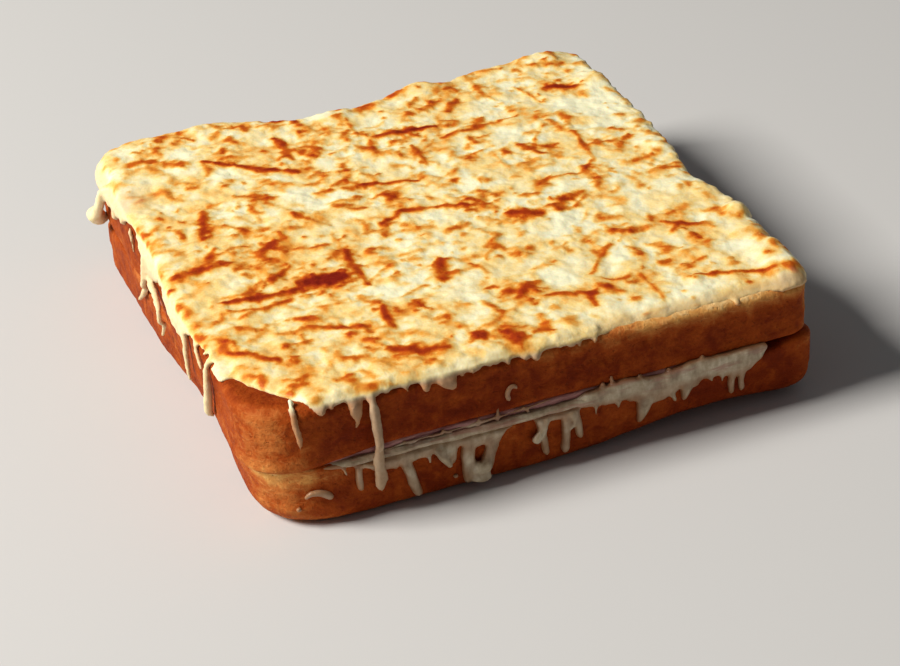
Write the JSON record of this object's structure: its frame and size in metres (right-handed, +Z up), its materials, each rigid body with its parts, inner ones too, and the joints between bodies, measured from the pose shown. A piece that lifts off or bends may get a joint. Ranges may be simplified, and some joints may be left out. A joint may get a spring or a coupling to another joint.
{
  "type": "croque monsieur sandwich",
  "caption": "Square toasted ham and cheese sandwich with a browned melted cheese topping that runs down over the crusts.",
  "frame": {"origin": "middle of the underside of the lower slice, on the surface that the sandwich rests on", "axes": "+Z up; -Y is the front wall with the cheese drips and +X its right-hand end, seen from the front"},
  "size_m": [0.1204, 0.1286, 0.029],
  "materials": {
    "lower_crust": "toasted bread crust, matt, browned",
    "melted_cheese": "melted cheese, soft sheen",
    "ham": "cooked ham, moist",
    "upper_crust": "toasted bread crust, matt, browned",
    "browned_cheese": "melted cheese browned under a grill, soft sheen"
  },
  "bodies": {
    "root": {"bread_bottom": "lower_crust", "cheese_filling": "melted_cheese", "ham": "ham", "bread_top": "upper_crust", "cheese_topping": "browned_cheese"}
  },
  "joints": []
}
